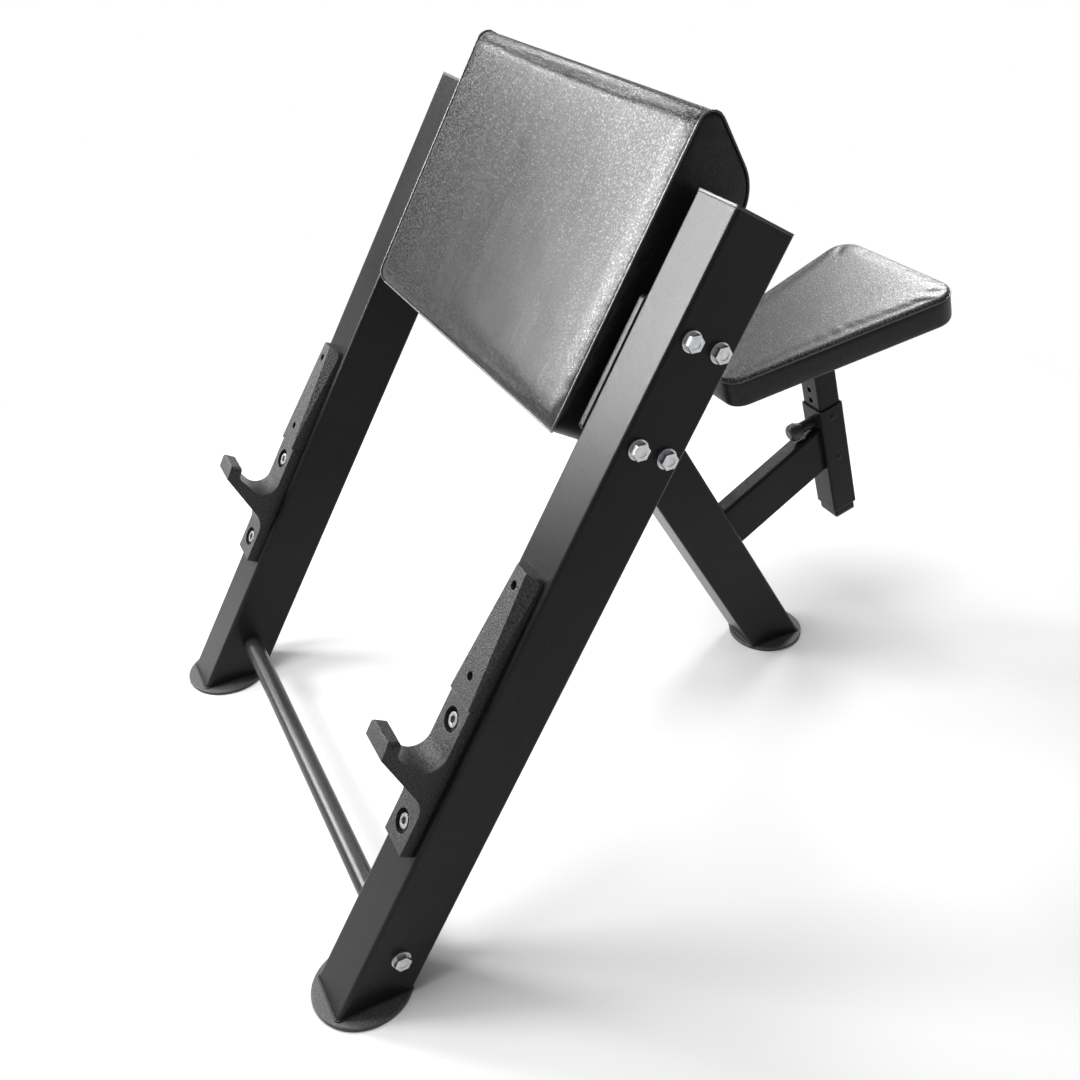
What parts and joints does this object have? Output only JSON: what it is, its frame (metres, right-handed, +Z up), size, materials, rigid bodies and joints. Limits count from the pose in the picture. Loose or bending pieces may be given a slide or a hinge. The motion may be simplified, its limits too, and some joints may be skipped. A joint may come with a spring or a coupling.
{
  "type": "preacher bench",
  "caption": "Preacher curl bench with leaning uprights, bar hooks, a padded arm rest and a seat that slides on a pinned post.",
  "frame": {"origin": "on the floor, under the middle of the bench's width and length", "axes": "+Z up, +Y from the bar hooks at the front to the seat at the back, +X towards the upright_right side"},
  "size_m": [0.817, 1.1266, 0.9677],
  "materials": {
    "frame_paint": "satin black powder coat with a fine orange-peel texture",
    "foot_paint": "textured dark grey powder coat",
    "cast_paint": "coarse speckled charcoal powder coat",
    "black_plastic": "moulded matte black plastic",
    "sole_rubber": "matte black rubber",
    "zinc": "bright zinc plate",
    "bright_steel": "polished steel",
    "black_steel": "blackened steel",
    "vinyl": "black vinyl with a fine pebbled grain",
    "plywood": "plain birch plywood"
  },
  "bodies": {
    "frame": {"upright_left": "frame_paint", "upright_right": "frame_paint", "cap_left": "black_plastic", "cap_right": "black_plastic", "foot_plate_left": "foot_paint", "foot_plate_right": "foot_paint", "foot_plate_rear": "foot_paint", "sole_left": "sole_rubber", "sole_right": "sole_rubber", "sole_rear": "sole_rubber", "crossbeam": "frame_paint", "flange_left": "frame_paint", "flange_right": "frame_paint", "beam_bolts_left": "zinc", "beam_bolts_right": "zinc", "beam_washers_left": "zinc", "beam_washers_right": "zinc", "beam_nuts_left": "zinc", "beam_nuts_right": "zinc", "foot_rod": "cast_paint", "rod_bolt_left": "zinc", "rod_bolt_right": "zinc", "rod_washer_left": "zinc", "rod_washer_right": "zinc", "hook_left": "cast_paint", "hook_right": "cast_paint", "hook_bolts_left": "zinc", "hook_bolts_right": "zinc", "guard_left": "cast_paint", "guard_right": "cast_paint", "guard_screws_left": "zinc", "guard_screws_right": "zinc", "arm_pad": "vinyl", "pad_board": "plywood", "pad_bolts": "zinc", "rear_leg": "frame_paint", "seat_arm": "frame_paint", "seat_sleeve": "frame_paint", "set_screw_upper": "zinc", "set_screw_lower": "zinc", "pin_barrel": "black_steel", "pin_spring": "bright_steel"},
    "seat": {"seat_post": "frame_paint", "post_plug": "black_plastic", "seat_plate": "frame_paint", "seat_screws": "zinc", "seat_board": "plywood", "seat_cushion": "vinyl"},
    "pin": {"pull_pin": "bright_steel", "pin_knob": "black_plastic"}
  },
  "joints": [
    {"name": "seat_slide", "type": "slide", "parent": "frame", "child": "seat", "axis": [0, -0.2588, 0.9659], "range_m": [-0.06, 0.06]},
    {"name": "pin_pull", "type": "slide", "parent": "frame", "child": "pin", "axis": [0, -0.9659, -0.2588], "range_m": [0, 0.008], "stiffness_N_per_m": 1200, "springref_m": -0.006, "deforming": ["pin_spring"]}
  ]
}
